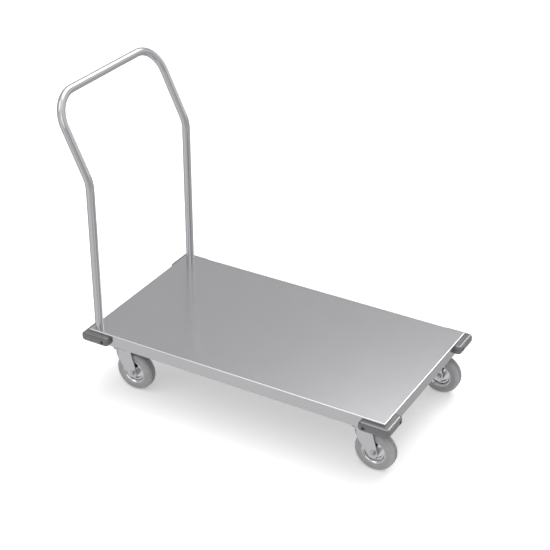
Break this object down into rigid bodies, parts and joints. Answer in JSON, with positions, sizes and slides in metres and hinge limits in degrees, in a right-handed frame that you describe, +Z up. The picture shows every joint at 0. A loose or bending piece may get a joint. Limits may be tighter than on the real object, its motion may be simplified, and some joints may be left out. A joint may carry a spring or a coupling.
{
  "type": "platform cart",
  "caption": "Low platform cart of folded sheet steel with a bent tube push handle at one end, corner bumpers and swivel casters.",
  "frame": {"origin": "on the floor, under the middle of the whole cart's box, handle and bumpers included; the middle of the deck is 41.02 mm ahead of it", "axes": "+X forward, away from the handle; +Y to the left; +Z up"},
  "size_m": [1.122, 0.59, 0.9329],
  "materials": {
    "deck_steel": "satin stainless sheet",
    "tube_steel": "polished stainless tube",
    "caster_steel": "satin pressed sheet",
    "fastener_steel": "bright fasteners",
    "bumper": "matt dark grey",
    "tyre_rubber": "matt mid grey",
    "rim_steel": "bright pressed sheet",
    "cage_plastic": "light grey moulding"
  },
  "bodies": {
    "cart": {"deck_pan": "deck_steel", "front_channel": "deck_steel", "rear_channel": "deck_steel", "deck_stiffener": "deck_steel", "handle_tube": "tube_steel", "handle_plugs": "fastener_steel", "handle_sockets": "deck_steel", "handle_bolts": "fastener_steel", "front_left_bumper": "bumper", "front_right_bumper": "bumper", "rear_left_bumper": "bumper", "rear_right_bumper": "bumper", "bumper_screws": "fastener_steel", "bumper_inserts": "fastener_steel", "caster_bolts": "fastener_steel", "caster_nuts": "fastener_steel", "front_left_plate": "caster_steel", "front_left_kingpin": "fastener_steel", "front_left_balls": "fastener_steel", "front_left_ball_cup": "caster_steel", "front_right_plate": "caster_steel", "front_right_kingpin": "fastener_steel", "front_right_balls": "fastener_steel", "front_right_ball_cup": "caster_steel", "rear_left_plate": "caster_steel", "rear_left_kingpin": "fastener_steel", "rear_left_balls": "fastener_steel", "rear_left_ball_cup": "caster_steel", "rear_right_plate": "caster_steel", "rear_right_kingpin": "fastener_steel", "rear_right_balls": "fastener_steel", "rear_right_ball_cup": "caster_steel"},
    "front_left_swivel": {"front_left_fork": "caster_steel", "front_left_axle_bolt": "fastener_steel", "front_left_axle_nut": "fastener_steel", "front_left_bearing_sleeve": "fastener_steel"},
    "front_left_wheel": {"front_left_roller_bearing": "cage_plastic", "front_left_wheel_rim": "rim_steel", "front_left_tyre": "tyre_rubber"},
    "front_right_swivel": {"front_right_fork": "caster_steel", "front_right_axle_bolt": "fastener_steel", "front_right_axle_nut": "fastener_steel", "front_right_bearing_sleeve": "fastener_steel"},
    "front_right_wheel": {"front_right_roller_bearing": "cage_plastic", "front_right_wheel_rim": "rim_steel", "front_right_tyre": "tyre_rubber"},
    "rear_left_swivel": {"rear_left_fork": "caster_steel", "rear_left_axle_bolt": "fastener_steel", "rear_left_axle_nut": "fastener_steel", "rear_left_bearing_sleeve": "fastener_steel"},
    "rear_left_wheel": {"rear_left_roller_bearing": "cage_plastic", "rear_left_wheel_rim": "rim_steel", "rear_left_tyre": "tyre_rubber"},
    "rear_right_swivel": {"rear_right_fork": "caster_steel", "rear_right_axle_bolt": "fastener_steel", "rear_right_axle_nut": "fastener_steel", "rear_right_bearing_sleeve": "fastener_steel"},
    "rear_right_wheel": {"rear_right_roller_bearing": "cage_plastic", "rear_right_wheel_rim": "rim_steel", "rear_right_tyre": "tyre_rubber"}
  },
  "joints": [
    {"name": "front_left_swivel_turn", "type": "hinge", "parent": "cart", "child": "front_left_swivel", "pos_m": [0.45102, 0.225, 0.143], "axis": [0, 0, 1], "continuous": true},
    {"name": "front_left_wheel_roll", "type": "hinge", "parent": "front_left_swivel", "child": "front_left_wheel", "pos_m": [0.49352, 0.225, 0.0625], "axis": [0, 1, 0], "continuous": true},
    {"name": "front_right_swivel_turn", "type": "hinge", "parent": "cart", "child": "front_right_swivel", "pos_m": [0.45102, -0.225, 0.143], "axis": [0, 0, 1], "continuous": true},
    {"name": "front_right_wheel_roll", "type": "hinge", "parent": "front_right_swivel", "child": "front_right_wheel", "pos_m": [0.49352, -0.225, 0.0625], "axis": [0, 1, 0], "continuous": true},
    {"name": "rear_left_swivel_turn", "type": "hinge", "parent": "cart", "child": "rear_left_swivel", "pos_m": [-0.36898, 0.225, 0.143], "axis": [0, 0, 1], "continuous": true},
    {"name": "rear_left_wheel_roll", "type": "hinge", "parent": "rear_left_swivel", "child": "rear_left_wheel", "pos_m": [-0.32648, 0.225, 0.0625], "axis": [0, 1, 0], "continuous": true},
    {"name": "rear_right_swivel_turn", "type": "hinge", "parent": "cart", "child": "rear_right_swivel", "pos_m": [-0.36898, -0.225, 0.143], "axis": [0, 0, 1], "continuous": true},
    {"name": "rear_right_wheel_roll", "type": "hinge", "parent": "rear_right_swivel", "child": "rear_right_wheel", "pos_m": [-0.32648, -0.225, 0.0625], "axis": [0, 1, 0], "continuous": true}
  ]
}
